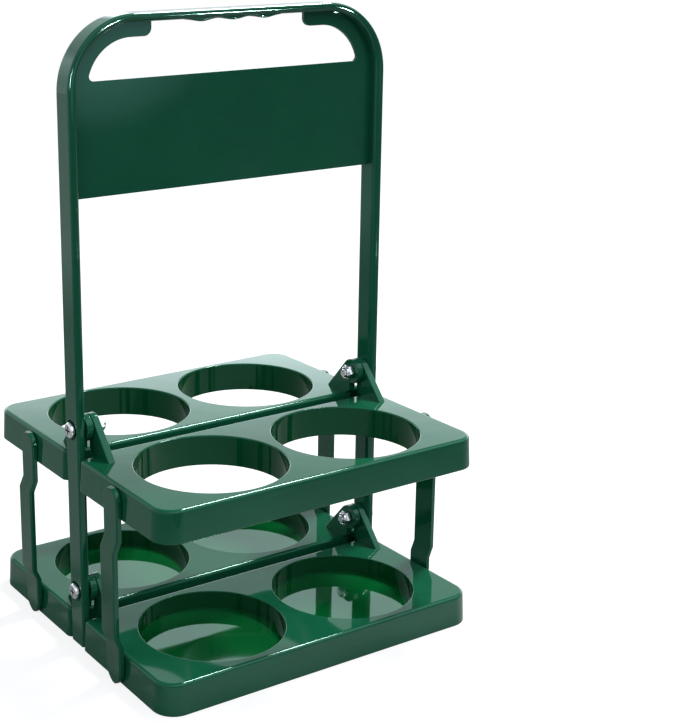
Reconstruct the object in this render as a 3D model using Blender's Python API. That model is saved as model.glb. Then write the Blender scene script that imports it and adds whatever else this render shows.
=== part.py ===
"""Folding carrier for four bottles.

A hoop frame with a blank panel and a carrying grip stands on its two legs. Two levels of trays,
one pair in front and one behind, fold up against it on four bolts, and four flat links at the
ends keep the two levels parallel.

Metres, +Z up, X along the carrier, the front at -Y, the origin on the floor at the centre.
"""
from math import acos, asin, atan2, cos, hypot, pi, sin

import bmesh
import bpy
from mathutils import Matrix, Vector

# Fits and cuts
FIT_GAP = 0.0003
CUT_OVERRUN = 0.004
JOIN_DEPTH = 0.001
LEAST_RADIUS = 0.0002

# Hoop frame, its web and hand hole measured down from the top
FRAME_HEIGHT = 0.351
FRAME_CORNER_RADIUS = 0.040
LEG_WIDTH = 0.0056
LEG_DEPTH = 0.0145
GRIP_THICKNESS = 0.0048
FRAME_EDGE_RADIUS = 0.0010
WEB_THICKNESS = 0.0020
PANEL_DROP = 0.0343
PANEL_HEIGHT = 0.0613
GRIP_HOLE_DROP = 0.0127
GRIP_HOLE_SIDE_WEB = 0.0088
GRIP_HOLE_FOOT_RADIUS = 0.0025
GRIP_HOLE_SHOULDER_RADIUS = 0.0266
TAB_EDGE_LENGTH = 0.0080
TAB_END_RADIUS = 0.0045
FINGER_RIB_PITCH = 0.0204
FINGER_RIB_DROP = 0.0014
FINGER_RIB_ROOT = 0.0002
FINGER_RIB_COUNT = 3

# Rings and wells, which set the size of the trays, the frame and the space between the levels
RING_BORE_RADIUS = 0.0420
RING_TO_MIDDLE = 0.0032
RING_TO_TRAY_END = 0.01605
RING_TO_TRAY_SIDE = 0.00455
RING_EDGE_RADIUS = 0.0008
RING_WALL = 0.0025
RING_FOOT_GAP = 0.0004
WELL_STEP_IN = 0.0010
WELL_EDGE_RADIUS = 0.0005
WELL_DEPTH = 0.0105
WELL_FLOOR = 0.0016

# Trays
TRAY_INNER_Y = 0.0044
TRAY_PAST_LEG = 0.00025
TRAY_HEIGHT = 0.018
TRAY_WALL = 0.0025
TRAY_TOP_THICKNESS = 0.0024
TRAY_DRAFT = 0.0008
TRAY_EDGE_RADIUS = 0.0012
TRAY_OUTER_CORNER_RADIUS = 0.012
TRAY_INNER_CORNER_RADIUS = 0.0030
NOTCH_MOUTH_RADIUS = 0.0016
NOTCH_ROOT_RADIUS = 0.0010
FOLDED_TRAY_GAP = 0.0026

# Hinge ears and bolts
BOLT_ABOVE_TRAY = 0.0144
EAR_THICKNESS = 0.0042
EAR_BOSS_RADIUS = 0.0076
EAR_REACH = 0.0242
EAR_INNER_Y = 0.0008
EAR_UNDERCUT = 0.0020
EAR_ROOT = 0.0015
BOLT_RADIUS = 0.0025
BOLT_TAIL = 0.0008
BOLT_HEAD_RADIUS = 0.0045
BOLT_HEAD_HEIGHT = 0.0034
BOLT_HEAD_ROUNDING = 0.0014
CROSS_SLOT_LENGTH = 0.0050
CROSS_SLOT_WIDTH = 0.0009
CROSS_SLOT_DEPTH = 0.0013
COUNTERBORE_RADIUS = 0.0057
COUNTERBORE_DEPTH = 0.0012
NUT_ACROSS_FLATS = 0.0080
NUT_HEIGHT = 0.0034
NUT_CHAMFER = 0.0004
NUT_COLLAR_RADIUS = 0.0037
NUT_COLLAR_HEIGHT = 0.0013

# Links between the levels
LINK_OFF_TRAY_MIDDLE = 0.00165
LINK_WIDTH = 0.0148
LINK_THICKNESS = 0.0028
LINK_EDGE = 0.0006
LINK_CRANK = 0.0026
LINK_CRANK_HEIGHT = 0.0062
LINK_UPPER_CRANK_DROP = 0.0209
LINK_LOWER_CRANK_RISE = 0.0135
LINK_PIVOT_BELOW_TRAY_TOP = 0.0088
LINK_TOP_REACH = 0.0074
LINK_FOOT_REACH = 0.0088
STUD_RADIUS = 0.0030
STUD_HEAD_RADIUS = 0.0042
STUD_HEAD_THICKNESS = 0.0015

# Facets
RING_SEGMENTS = 48
HOLE_SEGMENTS = 20
STUD_SEGMENTS = 12
LARGE_CORNER_STEPS = 8
SMALL_CORNER_STEPS = 3
EDGE_STEPS = 2
BOSS_STEPS = 12
LINK_END_STEPS = 5
FINGER_RIB_STEPS = 8
HEX_SIDES = 6
SMOOTH_LIMIT = pi / 6

# Places that follow from the sizes above. Folded up, a lower tray clears the tray above it.
PLACE_X = RING_TO_MIDDLE + RING_BORE_RADIUS
PLACE_DEPTH = TRAY_INNER_Y + RING_TO_TRAY_SIDE + RING_BORE_RADIUS
WELL_BORE_RADIUS = RING_BORE_RADIUS - WELL_STEP_IN
TRAY_END_X = PLACE_X + RING_BORE_RADIUS + RING_TO_TRAY_END
TRAY_OUTER_Y = PLACE_DEPTH + RING_BORE_RADIUS + RING_TO_TRAY_SIDE
LEG_OUTER_X = TRAY_END_X - TRAY_PAST_LEG
LEG_INNER_X = LEG_OUTER_X - LEG_WIDTH
PANEL_TOP_Z = FRAME_HEIGHT - PANEL_DROP
PANEL_BOTTOM_Z = PANEL_TOP_Z - PANEL_HEIGHT
GRIP_HOLE_TOP_Z = FRAME_HEIGHT - GRIP_HOLE_DROP
GRIP_HOLE_SIDE_X = LEG_INNER_X - GRIP_HOLE_SIDE_WEB
TAB_END_X = GRIP_HOLE_SIDE_X - GRIP_HOLE_SHOULDER_RADIUS - TAB_EDGE_LENGTH - TAB_END_RADIUS
LEVEL_SPACING = TRAY_OUTER_Y - TRAY_INNER_Y + FOLDED_TRAY_GAP
LOWER_BOLT_Z = TRAY_HEIGHT + BOLT_ABOVE_TRAY
UPPER_BOLT_Z = LOWER_BOLT_Z + LEVEL_SPACING
TRAY_TOP = -BOLT_ABOVE_TRAY
TRAY_BOTTOM = TRAY_TOP - TRAY_HEIGHT
OUTBOARD_EAR_X = LEG_INNER_X - FIT_GAP - EAR_THICKNESS
INBOARD_EAR_X = OUTBOARD_EAR_X - FIT_GAP - EAR_THICKNESS
BORE_AROUND_BOLT = BOLT_RADIUS + FIT_GAP
NUT_FACE_X = INBOARD_EAR_X - FIT_GAP
NUT_END_X = NUT_FACE_X - NUT_HEIGHT - NUT_COLLAR_HEIGHT
LINK_INNER_X = TRAY_END_X + TRAY_DRAFT + FIT_GAP
LINK_DEPTH = PLACE_DEPTH - LINK_OFF_TRAY_MIDDLE
LINK_PIVOT = TRAY_TOP - LINK_PIVOT_BELOW_TRAY_TOP

GREEN = (0.010, 0.088, 0.040)
ZINC = (0.72, 0.73, 0.74)


def arc(centre, radius, start, end, steps):
    """Points along an arc, both ends included."""
    turn = (end - start) / steps
    angles = [start + turn * step for step in range(steps + 1)]
    return [(centre[0] + radius * cos(angle), centre[1] + radius * sin(angle)) for angle in angles]


def rounded_outline(corners, inset=0.0):
    """Points of a counter-clockwise outline with rounded corners, moved inward by an inset.

    Each corner is (x, y, radius, steps). A corner with no steps stays sharp.
    """
    points = []
    count = len(corners)
    for index, (x, y, radius, steps) in enumerate(corners):
        here = Vector((x, y))
        before = (here - Vector(corners[index - 1][:2])).normalized()
        after = (Vector(corners[(index + 1) % count][:2]) - here).normalized()
        in_before = Vector((-before.y, before.x))
        in_after = Vector((-after.y, after.x))
        turn = before.cross(after)
        bisector = (in_before + in_after).normalized()
        here = here + bisector * (inset / bisector.dot(in_before))
        if not steps:
            points.append((here.x, here.y))
            continue
        side = 1 if turn > 0 else -1
        bend = max(radius - side * inset, LEAST_RADIUS)
        centre = here + bisector * (side * bend / bisector.dot(in_before))
        first = -in_before * side
        last = -in_after * side
        start = atan2(first.y, first.x)
        sweep = atan2(first.cross(last), first.dot(last))
        points += arc(centre, bend, start, start + sweep, steps)
    return points


def loft(rings):
    """A closed body through rings of equal point counts, with both ends capped."""
    body = bmesh.new()
    rows = [[body.verts.new(point) for point in ring] for ring in rings]
    count = len(rows[0])
    for row, above in zip(rows, rows[1:]):
        for index in range(count):
            following = (index + 1) % count
            body.faces.new((row[index], row[following], above[following], above[index]))
    body.faces.new(rows[0][::-1])
    body.faces.new(rows[-1])
    bmesh.ops.recalc_face_normals(body, faces=body.faces)
    return body


def prism(outline, low, high, axis):
    """An outline pushed from low to high along X, Y or Z.

    The outline's two coordinates are the other two axes, in the order X, Y, Z.
    """
    place = {
        "X": lambda point, along: (along, point[0], point[1]),
        "Y": lambda point, along: (point[0], along, point[1]),
        "Z": lambda point, along: (point[0], point[1], along),
    }[axis]
    return loft([[place(point, along) for point in outline] for along in (low, high)])


def turned(profile, centre, axis, segments):
    """A body turned about a line along X or Z; the profile is a list of (along, radius)."""
    rings = []
    for along, radius in profile:
        circle = arc((0, 0), radius, 0, 2 * pi, segments)[:-1]
        if axis == "X":
            rings.append([(along, centre[0] + a, centre[1] + b) for a, b in circle])
        else:
            rings.append([(centre[0] + a, centre[1] + b, along) for a, b in circle])
    return loft(rings)


def mesh_from(body, name):
    mesh = bpy.data.meshes.new(name)
    body.to_mesh(mesh)
    body.free()
    return mesh


def combined(base, steps, name):
    """The mesh left after a list of (operation, body) booleans on a base body."""
    target = bpy.data.objects.new(name, mesh_from(base, name))
    bpy.context.scene.collection.objects.link(target)
    tools = []
    for operation, body in steps:
        tool = bpy.data.objects.new(name + "_tool", mesh_from(body, name + "_tool"))
        bpy.context.scene.collection.objects.link(tool)
        tool.hide_render = True
        tool.display_type = "WIRE"
        modifier = target.modifiers.new(operation.lower(), "BOOLEAN")
        modifier.operation = operation
        modifier.solver = "EXACT"
        modifier.object = tool
        tools.append(tool)
    bpy.context.view_layer.update()
    evaluated = target.evaluated_get(bpy.context.evaluated_depsgraph_get())
    mesh = bpy.data.meshes.new_from_object(evaluated)
    mesh.name = name
    for item in tools + [target]:
        bpy.data.objects.remove(item)
    return mesh


def smooth(mesh):
    mesh.shade_smooth()
    mesh.set_sharp_from_angle(angle=SMOOTH_LIMIT)
    return mesh


def material(name, colour, roughness, metallic):
    made = bpy.data.materials.new(name)
    made.use_nodes = True
    shader = made.node_tree.nodes["Principled BSDF"]
    shader.inputs["Base Color"].default_value = (*colour, 1)
    shader.inputs["Roughness"].default_value = roughness
    shader.inputs["Metallic"].default_value = metallic
    return made


def place(name, mesh, location, half_turn=False, metal=False):
    """One sub-part: its own object and material, which may share its mesh with its twin."""
    part = bpy.data.objects.new(name, mesh)
    bpy.context.scene.collection.objects.link(part)
    part.location = location
    part.rotation_euler.z = pi if half_turn else 0
    if metal:
        look = material(name, ZINC, 0.22, 1.0)
    else:
        look = material(name, GREEN, 0.18, 0.0)
    if not mesh.materials:
        mesh.materials.append(look)
    part.material_slots[0].link = "OBJECT"
    part.material_slots[0].material = look
    return part


def edge_steps(radius):
    """(inset, drop) pairs that round an edge, from its side face to its end face."""
    angles = [pi / 2 * step / EDGE_STEPS for step in range(EDGE_STEPS + 1)]
    return [(radius * (1 - cos(angle)), radius * (1 - sin(angle))) for angle in angles]


# Hoop frame

def hoop_body():
    """The band that forms both legs, the corners and the grip."""
    inner_radius = FRAME_CORNER_RADIUS - LEG_WIDTH
    inner_top = FRAME_HEIGHT - GRIP_THICKNESS
    corners = [
        (-LEG_OUTER_X, 0, 0, 0),
        (-LEG_INNER_X, 0, 0, 0),
        (-LEG_INNER_X, inner_top, inner_radius, LARGE_CORNER_STEPS),
        (LEG_INNER_X, inner_top, inner_radius, LARGE_CORNER_STEPS),
        (LEG_INNER_X, 0, 0, 0),
        (LEG_OUTER_X, 0, 0, 0),
        (LEG_OUTER_X, FRAME_HEIGHT, FRAME_CORNER_RADIUS, LARGE_CORNER_STEPS),
        (-LEG_OUTER_X, FRAME_HEIGHT, FRAME_CORNER_RADIUS, LARGE_CORNER_STEPS),
    ]
    side = LEG_DEPTH / 2
    edges = edge_steps(FRAME_EDGE_RADIUS)
    sections = [(drop - side, inset) for inset, drop in reversed(edges)]
    sections += [(side - drop, inset) for inset, drop in edges]
    return loft([[(x, y, z) for x, z in rounded_outline(corners, inset)] for y, inset in sections])


def web_body():
    """The thin plate across the top of the hoop, before the grip hole is cut."""
    reach = LEG_WIDTH / 2
    side = LEG_INNER_X + reach
    top = FRAME_HEIGHT - reach
    radius = FRAME_CORNER_RADIUS - reach
    corners = [
        (-side, PANEL_BOTTOM_Z, 0, 0),
        (side, PANEL_BOTTOM_Z, 0, 0),
        (side, top, radius, LARGE_CORNER_STEPS),
        (-side, top, radius, LARGE_CORNER_STEPS),
    ]
    return prism(rounded_outline(corners), -WEB_THICKNESS / 2, WEB_THICKNESS / 2, "Y")


def grip_hole_body():
    """The hand hole: wide below, narrower between the two rounded tabs beside the grip."""
    bend = GRIP_HOLE_SHOULDER_RADIUS
    shoulder = (GRIP_HOLE_SIDE_X - bend, GRIP_HOLE_TOP_Z - bend)
    foot_z = PANEL_TOP_Z + GRIP_HOLE_FOOT_RADIUS
    reach = bend - GRIP_HOLE_FOOT_RADIUS
    rise = asin((foot_z - shoulder[1]) / reach)
    foot = (shoulder[0] + reach * cos(rise), foot_z)
    tab = (TAB_END_X + TAB_END_RADIUS, GRIP_HOLE_TOP_Z + TAB_END_RADIUS)
    half = arc(foot, GRIP_HOLE_FOOT_RADIUS, -pi / 2, rise, SMALL_CORNER_STEPS)
    half += arc(shoulder, bend, rise, pi / 2, LARGE_CORNER_STEPS)[1:]
    half += arc(tab, TAB_END_RADIUS, -pi / 2, -pi, SMALL_CORNER_STEPS)
    half.append((TAB_END_X, FRAME_HEIGHT + CUT_OVERRUN))
    outline = half + [(-x, z) for x, z in reversed(half)]
    return prism(outline, -LEG_DEPTH, LEG_DEPTH, "Y")


def finger_rib_body():
    """The wavy strip under the grip."""
    low = FRAME_HEIGHT - GRIP_THICKNESS
    half_length = FINGER_RIB_PITCH * FINGER_RIB_COUNT / 2
    steps = FINGER_RIB_STEPS * FINGER_RIB_COUNT
    outline = [(half_length, low + JOIN_DEPTH), (-half_length, low + JOIN_DEPTH)]
    for step in range(steps + 1):
        share = step / FINGER_RIB_STEPS
        swell = (1 - cos(2 * pi * share)) / 2
        x = FINGER_RIB_PITCH * share - half_length
        outline.append((x, low - FINGER_RIB_ROOT - FINGER_RIB_DROP * swell))
    side = LEG_DEPTH / 2 - FRAME_EDGE_RADIUS
    return prism(outline, -side, side, "Y")


def bolt_hole_steps():
    """Holes and counterbores for the four bolts, cut through both legs."""
    steps = []
    for bolt_z in (LOWER_BOLT_Z, UPPER_BOLT_Z):
        reach = LEG_OUTER_X + CUT_OVERRUN
        through = [(-reach, BORE_AROUND_BOLT), (reach, BORE_AROUND_BOLT)]
        steps.append(("DIFFERENCE", turned(through, (0, bolt_z), "X", HOLE_SEGMENTS)))
        for side in (-1, 1):
            floor = LEG_OUTER_X - COUNTERBORE_DEPTH
            sink = [(side * floor, COUNTERBORE_RADIUS), (side * reach, COUNTERBORE_RADIUS)]
            steps.append(("DIFFERENCE", turned(sink, (0, bolt_z), "X", HOLE_SEGMENTS)))
    return steps


def build_frame():
    steps = [("DIFFERENCE", grip_hole_body()), ("UNION", hoop_body()), ("UNION", finger_rib_body())]
    mesh = combined(web_body(), steps + bolt_hole_steps(), "handle_frame")
    place("handle_frame", smooth(mesh), (0, 0, 0))


# Trays

def tray_corners():
    """The plan of a front tray's top, seen from above, counter-clockwise.

    A notch at each end clears the leg. At the left it also clears the other tray's ear.
    """
    notch_y = -(LEG_DEPTH / 2 + FIT_GAP + TRAY_DRAFT)
    left_notch = -OUTBOARD_EAR_X + FIT_GAP
    right_notch = LEG_INNER_X - FIT_GAP - TRAY_DRAFT
    return [
        (-TRAY_END_X, -TRAY_OUTER_Y, TRAY_OUTER_CORNER_RADIUS, LARGE_CORNER_STEPS),
        (TRAY_END_X, -TRAY_OUTER_Y, TRAY_OUTER_CORNER_RADIUS, LARGE_CORNER_STEPS),
        (TRAY_END_X, notch_y, TRAY_INNER_CORNER_RADIUS, SMALL_CORNER_STEPS),
        (right_notch, notch_y, NOTCH_ROOT_RADIUS, SMALL_CORNER_STEPS),
        (right_notch, -TRAY_INNER_Y, NOTCH_MOUTH_RADIUS, SMALL_CORNER_STEPS),
        (left_notch, -TRAY_INNER_Y, NOTCH_MOUTH_RADIUS, SMALL_CORNER_STEPS),
        (left_notch, notch_y, NOTCH_ROOT_RADIUS, SMALL_CORNER_STEPS),
        (-TRAY_END_X, notch_y, TRAY_INNER_CORNER_RADIUS, SMALL_CORNER_STEPS),
    ]


def tray_shell_body():
    """The outside of a tray: drafted skirt and rounded top edge."""
    levels = [(TRAY_BOTTOM, -TRAY_DRAFT)]
    levels += [(TRAY_TOP - drop, inset) for inset, drop in edge_steps(TRAY_EDGE_RADIUS)]
    corners = tray_corners()
    return loft([[(x, y, z) for x, y in rounded_outline(corners, inset)] for z, inset in levels])


def tray_hollow_body():
    outline = rounded_outline(tray_corners(), TRAY_WALL)
    return prism(outline, TRAY_BOTTOM - CUT_OVERRUN, TRAY_TOP - TRAY_TOP_THICKNESS, "Z")


def bore_profile(radius, edge, floor):
    """A bore from its floor up to a rounded edge at the tray's top."""
    profile = [(floor, radius)]
    profile += [(TRAY_TOP - drop, radius + inset) for inset, drop in edge_steps(edge)]
    profile.append((TRAY_TOP + CUT_OVERRUN, radius + edge))
    return profile


def place_steps(ring):
    """The two bottle places of a tray: open rings above, wells with a floor below."""
    bore = RING_BORE_RADIUS if ring else WELL_BORE_RADIUS
    edge = RING_EDGE_RADIUS if ring else WELL_EDGE_RADIUS
    wall_low = TRAY_BOTTOM + RING_FOOT_GAP if ring else TRAY_TOP - WELL_DEPTH - WELL_FLOOR
    bore_low = TRAY_BOTTOM - CUT_OVERRUN if ring else TRAY_TOP - WELL_DEPTH
    wall = [(wall_low, bore + RING_WALL), (TRAY_TOP - JOIN_DEPTH, bore + RING_WALL)]
    steps = []
    for side in (-1, 1):
        centre = (side * PLACE_X, -PLACE_DEPTH)
        steps.append(("UNION", turned(wall, centre, "Z", RING_SEGMENTS)))
    for side in (-1, 1):
        centre = (side * PLACE_X, -PLACE_DEPTH)
        profile = bore_profile(bore, edge, bore_low)
        steps.append(("DIFFERENCE", turned(profile, centre, "Z", RING_SEGMENTS)))
    return steps


def ear_outline():
    """A hinge ear in the Y-Z plane, round over the bolt and sloping down to the tray."""
    foot_z = TRAY_TOP - EAR_ROOT
    reach = hypot(EAR_REACH, foot_z)
    tip_angle = atan2(foot_z, -EAR_REACH) % (2 * pi)
    start = -pi / 2 - EAR_INNER_Y / EAR_BOSS_RADIUS
    end = tip_angle - acos(EAR_BOSS_RADIUS / reach)
    outline = arc((0, 0), EAR_BOSS_RADIUS, start, end, BOSS_STEPS)
    outline.append((-EAR_REACH, foot_z))
    outline.append((-TRAY_INNER_Y - EAR_ROOT, foot_z))
    outline.append((-EAR_INNER_Y, TRAY_TOP + EAR_UNDERCUT))
    return outline


def ear_steps():
    """The inboard ear at the left, the outboard ear at the right, and their bolt holes."""
    inboard = prism(ear_outline(), -INBOARD_EAR_X - EAR_THICKNESS, -INBOARD_EAR_X, "X")
    outboard = prism(ear_outline(), OUTBOARD_EAR_X, OUTBOARD_EAR_X + EAR_THICKNESS, "X")
    through = [(-LEG_OUTER_X, BORE_AROUND_BOLT), (LEG_OUTER_X, BORE_AROUND_BOLT)]
    bore = turned(through, (0, 0), "X", HOLE_SEGMENTS)
    return [("UNION", inboard), ("UNION", outboard), ("DIFFERENCE", bore)]


def stud_hole_step():
    """Holes in both end walls for the links' studs."""
    reach = TRAY_END_X + CUT_OVERRUN
    hole = [(-reach, STUD_RADIUS + FIT_GAP), (reach, STUD_RADIUS + FIT_GAP)]
    return ("DIFFERENCE", turned(hole, (-LINK_DEPTH, LINK_PIVOT), "X", HOLE_SEGMENTS))


def tray_mesh(name, ring):
    steps = [("DIFFERENCE", tray_hollow_body()), stud_hole_step()]
    return smooth(combined(tray_shell_body(), steps + place_steps(ring) + ear_steps(), name))


def build_trays():
    """Each tray's origin is on its hinge axis. The rear trays are the front ones turned round."""
    upper = tray_mesh("upper_tray", ring=True)
    lower = tray_mesh("lower_tray", ring=False)
    place("upper_front_tray", upper, (0, 0, UPPER_BOLT_Z))
    place("upper_rear_tray", upper, (0, 0, UPPER_BOLT_Z), half_turn=True)
    place("lower_front_tray", lower, (0, 0, LOWER_BOLT_Z))
    place("lower_rear_tray", lower, (0, 0, LOWER_BOLT_Z), half_turn=True)


# Links

def link_stations():
    """(height, half width, crank share) down the link, from its top tip to its foot."""
    half = LINK_WIDTH / 2
    top = LINK_TOP_REACH - half
    foot = half - LEVEL_SPACING - LINK_FOOT_REACH
    upper_crank = -LINK_UPPER_CRANK_DROP
    lower_crank = LINK_LOWER_CRANK_RISE - LEVEL_SPACING
    turns = [pi / 2 * step / LINK_END_STEPS for step in range(1, LINK_END_STEPS)]
    tip = (half, LINK_EDGE * 2)
    rounding = [(0, half)] + [(half * sin(turn), half * cos(turn)) for turn in turns] + [tip]
    stations = [(top + rise, width, 0) for rise, width in reversed(rounding)]
    stations += [
        (upper_crank, half, 0),
        (upper_crank - LINK_CRANK_HEIGHT, half, 1),
        (lower_crank + LINK_CRANK_HEIGHT, half, 1),
        (lower_crank, half, 0),
    ]
    return stations + [(foot - rise, width, 0) for rise, width in rounding]


def link_bar_body():
    """A flat bar with round ends that steps outward between the levels.

    Its origin is its upper pivot, on the bar's inner face, and +X points away from the carrier.
    """
    rings = []
    for z, width, crank_share in link_stations():
        inner = LINK_CRANK * crank_share
        outer = inner + LINK_THICKNESS
        corners = [
            (inner, -width, 0, 0),
            (outer, -width, LINK_EDGE, 1),
            (outer, width, LINK_EDGE, 1),
            (inner, width, 0, 0),
        ]
        rings.append([(x, y, z) for x, y in rounded_outline(corners)])
    return loft(rings)


def stud_body(pivot_z):
    """A stud through the tray's end wall, with a head that holds it from inside."""
    head_face = TRAY_END_X - TRAY_WALL - FIT_GAP - LINK_INNER_X
    profile = [
        (head_face - STUD_HEAD_THICKNESS, STUD_RADIUS),
        (head_face - STUD_HEAD_THICKNESS / 2, STUD_HEAD_RADIUS),
        (head_face, STUD_HEAD_RADIUS),
        (head_face, STUD_RADIUS),
        (JOIN_DEPTH, STUD_RADIUS),
    ]
    return turned(profile, (0, pivot_z), "X", STUD_SEGMENTS)


def build_links():
    studs = [("UNION", stud_body(0)), ("UNION", stud_body(-LEVEL_SPACING))]
    mesh = smooth(combined(link_bar_body(), studs, "link"))
    pivot_z = UPPER_BOLT_Z + LINK_PIVOT
    for end, side in (("left", -1), ("right", 1)):
        for face, depth in (("front", -LINK_DEPTH), ("rear", LINK_DEPTH)):
            location = (side * LINK_INNER_X, depth, pivot_z)
            place(end + "_" + face + "_link", mesh, location, half_turn=side < 0)


# Bolts and nuts

def bolt_mesh():
    """A cross-head bolt along +X, its head sunk in the leg's outer face."""
    seat = LEG_OUTER_X - COUNTERBORE_DEPTH + FIT_GAP
    crown = seat + BOLT_HEAD_HEIGHT
    profile = [
        (NUT_END_X - BOLT_TAIL, BOLT_RADIUS),
        (seat, BOLT_RADIUS),
        (seat, BOLT_HEAD_RADIUS),
        (crown - BOLT_HEAD_ROUNDING, BOLT_HEAD_RADIUS),
    ]
    for inset, drop in edge_steps(BOLT_HEAD_ROUNDING)[1:]:
        profile.append((crown - drop, BOLT_HEAD_RADIUS - inset))
    slots = []
    for length, width in ((CROSS_SLOT_LENGTH, CROSS_SLOT_WIDTH), (CROSS_SLOT_WIDTH, CROSS_SLOT_LENGTH)):
        corners = [
            (-length / 2, -width / 2, 0, 0),
            (length / 2, -width / 2, 0, 0),
            (length / 2, width / 2, 0, 0),
            (-length / 2, width / 2, 0, 0),
        ]
        slot = prism(rounded_outline(corners), crown - CROSS_SLOT_DEPTH, crown + CUT_OVERRUN, "X")
        slots.append(("DIFFERENCE", slot))
    return smooth(combined(turned(profile, (0, 0), "X", HOLE_SEGMENTS), slots, "bolt"))


def hexagon(inset=0.0):
    radius = NUT_ACROSS_FLATS / 2 / cos(pi / HEX_SIDES) - inset
    return arc((0, 0), radius, 0, 2 * pi, HEX_SIDES)[:-1]


def nut_mesh():
    """A hexagon nut with a round locking collar, threaded on the bolt against the ear."""
    collar_x = NUT_FACE_X - NUT_HEIGHT
    stations = [
        (NUT_FACE_X, NUT_CHAMFER),
        (NUT_FACE_X - NUT_CHAMFER, 0),
        (collar_x + NUT_CHAMFER, 0),
        (collar_x, NUT_CHAMFER),
    ]
    body = loft([[(x, y, z) for y, z in hexagon(inset)] for x, inset in stations])
    collar = [
        (NUT_END_X, NUT_COLLAR_RADIUS - NUT_CHAMFER),
        (NUT_END_X + NUT_CHAMFER, NUT_COLLAR_RADIUS),
        (collar_x + JOIN_DEPTH, NUT_COLLAR_RADIUS),
    ]
    bore = [(NUT_END_X - CUT_OVERRUN, BORE_AROUND_BOLT), (NUT_FACE_X + CUT_OVERRUN, BORE_AROUND_BOLT)]
    steps = [
        ("UNION", turned(collar, (0, 0), "X", HOLE_SEGMENTS)),
        ("DIFFERENCE", turned(bore, (0, 0), "X", HOLE_SEGMENTS)),
    ]
    return smooth(combined(body, steps, "nut"))


def build_fasteners():
    bolt = bolt_mesh()
    nut = nut_mesh()
    for level, bolt_z in (("upper", UPPER_BOLT_Z), ("lower", LOWER_BOLT_Z)):
        for end in ("left", "right"):
            for kind, mesh in (("bolt", bolt), ("nut", nut)):
                name = level + "_" + end + "_" + kind
                place(name, mesh, (0, 0, bolt_z), half_turn=end == "left", metal=True)


def main():
    for item in list(bpy.data.objects):
        bpy.data.objects.remove(item)
    build_frame()
    build_trays()
    build_links()
    build_fasteners()
    bpy.context.view_layer.update()


main()
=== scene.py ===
from math import acos, asin, atan2, cos, hypot, pi, radians, sin, sqrt, tan

import bmesh
import bpy
from mathutils import Matrix, Vector


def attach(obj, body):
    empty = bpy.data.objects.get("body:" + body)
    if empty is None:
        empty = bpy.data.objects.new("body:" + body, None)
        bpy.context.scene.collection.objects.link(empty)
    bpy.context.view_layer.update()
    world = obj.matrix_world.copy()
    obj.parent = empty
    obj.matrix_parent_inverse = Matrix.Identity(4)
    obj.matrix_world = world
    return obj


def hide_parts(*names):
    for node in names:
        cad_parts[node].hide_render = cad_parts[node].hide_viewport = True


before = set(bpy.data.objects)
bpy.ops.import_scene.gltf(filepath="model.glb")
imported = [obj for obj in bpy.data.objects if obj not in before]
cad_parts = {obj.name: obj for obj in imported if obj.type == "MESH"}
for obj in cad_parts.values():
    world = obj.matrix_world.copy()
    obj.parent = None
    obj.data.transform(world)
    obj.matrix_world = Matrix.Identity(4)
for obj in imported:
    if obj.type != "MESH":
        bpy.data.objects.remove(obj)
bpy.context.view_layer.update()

# Fits, cuts and the margin within which a face counts as lying on a surface
FIT_GAP = 0.0003
CUT_OVERRUN = 0.004
JOIN_DEPTH = 0.001
LEAST_RADIUS = 0.0002
FACE_MARGIN = 0.0002

# Hoop frame, its web and hand hole measured down from the top
FRAME_HEIGHT = 0.351
FRAME_CORNER_RADIUS = 0.040
LEG_WIDTH = 0.0056
LEG_DEPTH = 0.0145
GRIP_THICKNESS = 0.0048
FRAME_EDGE_RADIUS = 0.0015
FRAME_INNER_EDGE_RADIUS = 0.0030
WEB_THICKNESS = 0.0020
PANEL_DROP = 0.0343
PANEL_HEIGHT = 0.0613
GRIP_HOLE_DROP = 0.0127
GRIP_HOLE_SIDE_WEB = 0.0088
GRIP_HOLE_FOOT_RADIUS = 0.0025
GRIP_HOLE_SHOULDER_RADIUS = 0.0266
TAB_EDGE_LENGTH = 0.0080
TAB_END_RADIUS = 0.0045
FINGER_RIB_PITCH = 0.0204
FINGER_RIB_DROP = 0.0014
FINGER_RIB_ROOT = 0.0002
FINGER_RIB_COUNT = 3
FINGER_RIB_EDGE = 0.0009
FINGER_RIB_SET_BACK = 0.0015

# Rings and wells, which set the size of the trays, the frame and the space between the levels
RING_BORE_RADIUS = 0.0420
RING_TO_MIDDLE = 0.0032
RING_TO_TRAY_END = 0.01605
RING_TO_TRAY_SIDE = 0.00455
RING_EDGE_RADIUS = 0.0008
RING_WALL = 0.0025
RING_FOOT_GAP = 0.0004
WELL_STEP_IN = 0.0010
WELL_EDGE_RADIUS = 0.0005
WELL_DEPTH = 0.0105
WELL_FLOOR = 0.0016

# Trays
TRAY_INNER_Y = 0.0044
TRAY_PAST_LEG = 0.00025
TRAY_HEIGHT = 0.018
TRAY_WALL = 0.0025
TRAY_TOP_THICKNESS = 0.0024
TRAY_DRAFT = 0.0008
TRAY_EDGE_RADIUS = 0.0021
TRAY_RIM_RADIUS = 0.0006
TRAY_OUTER_CORNER_RADIUS = 0.012
TRAY_INNER_CORNER_RADIUS = 0.0030
NOTCH_MOUTH_RADIUS = 0.0016
NOTCH_ROOT_RADIUS = 0.0010
FOLDED_TRAY_GAP = 0.0026

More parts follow.
